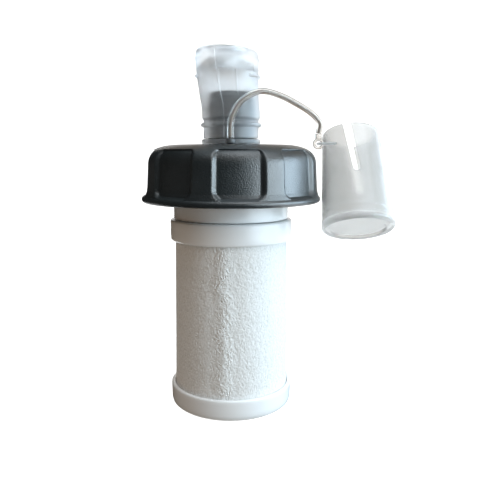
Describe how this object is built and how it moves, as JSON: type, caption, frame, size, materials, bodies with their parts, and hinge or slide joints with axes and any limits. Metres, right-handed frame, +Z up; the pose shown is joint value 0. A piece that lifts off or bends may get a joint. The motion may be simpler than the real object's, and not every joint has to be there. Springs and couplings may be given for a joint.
{
  "type": "bottle cap water filter",
  "caption": "Wide-mouth screw cap with a soft drinking mouthpiece, a tethered dust cap and a replaceable fibre-sleeved filter cartridge that hangs below it.",
  "frame": {"origin": "centre of the flat underside of the cartridge's lower end cap", "axes": "+Z up along the cartridge's axis to the mouthpiece, -Y to the side where the tether leaves the spout"},
  "size_m": [0.1006, 0.072, 0.1429],
  "materials": {
    "cap_grey": "fine moulded texture",
    "stem_grey": "satin",
    "white_shell": "gloss",
    "fibre": "matted fibre",
    "milky_silicone": "translucent satin",
    "valve_silicone": "satin",
    "clear_tether": "clear",
    "frosted_cap": "frosted",
    "seal": "matt",
    "carbon": "porous bound carbon"
  },
  "bodies": {
    "cartridge": {"lower_end_cap": "white_shell", "upper_end_cap": "white_shell", "prefilter_sleeve": "fibre", "block_gasket_bottom": "seal", "filter_block": "carbon", "block_gasket_top": "seal", "core_tube": "white_shell", "outlet_collar": "white_shell", "collar_gasket": "seal", "nipple_o_ring_lower": "seal", "nipple_o_ring_upper": "seal"},
    "cap": {"screw_cap": "cap_grey", "rim_gasket": "seal", "air_valve": "valve_silicone", "spout_stem": "stem_grey", "stem_o_ring": "seal", "mouthpiece": "milky_silicone"},
    "tether": {"tether_ring": "clear_tether", "tether_cord": "clear_tether", "tether_eye": "clear_tether"},
    "dust_cap": {"dust_cap": "frosted_cap"}
  },
  "joints": [
    {"name": "cap_pull", "type": "slide", "parent": "cartridge", "child": "cap", "axis": [0, 0, 1], "range_m": [0, 0.0129]},
    {"name": "tether_swivel", "type": "hinge", "parent": "cap", "child": "tether", "pos_m": [0, 0, 0.1042], "axis": [0, 0, 1], "continuous": true},
    {"name": "dust_cap_swing", "type": "hinge", "parent": "tether", "child": "dust_cap", "pos_m": [0.0354, -0.0002, 0.1044], "axis": [1, 0, 0], "range_deg": [-30, 30]}
  ]
}
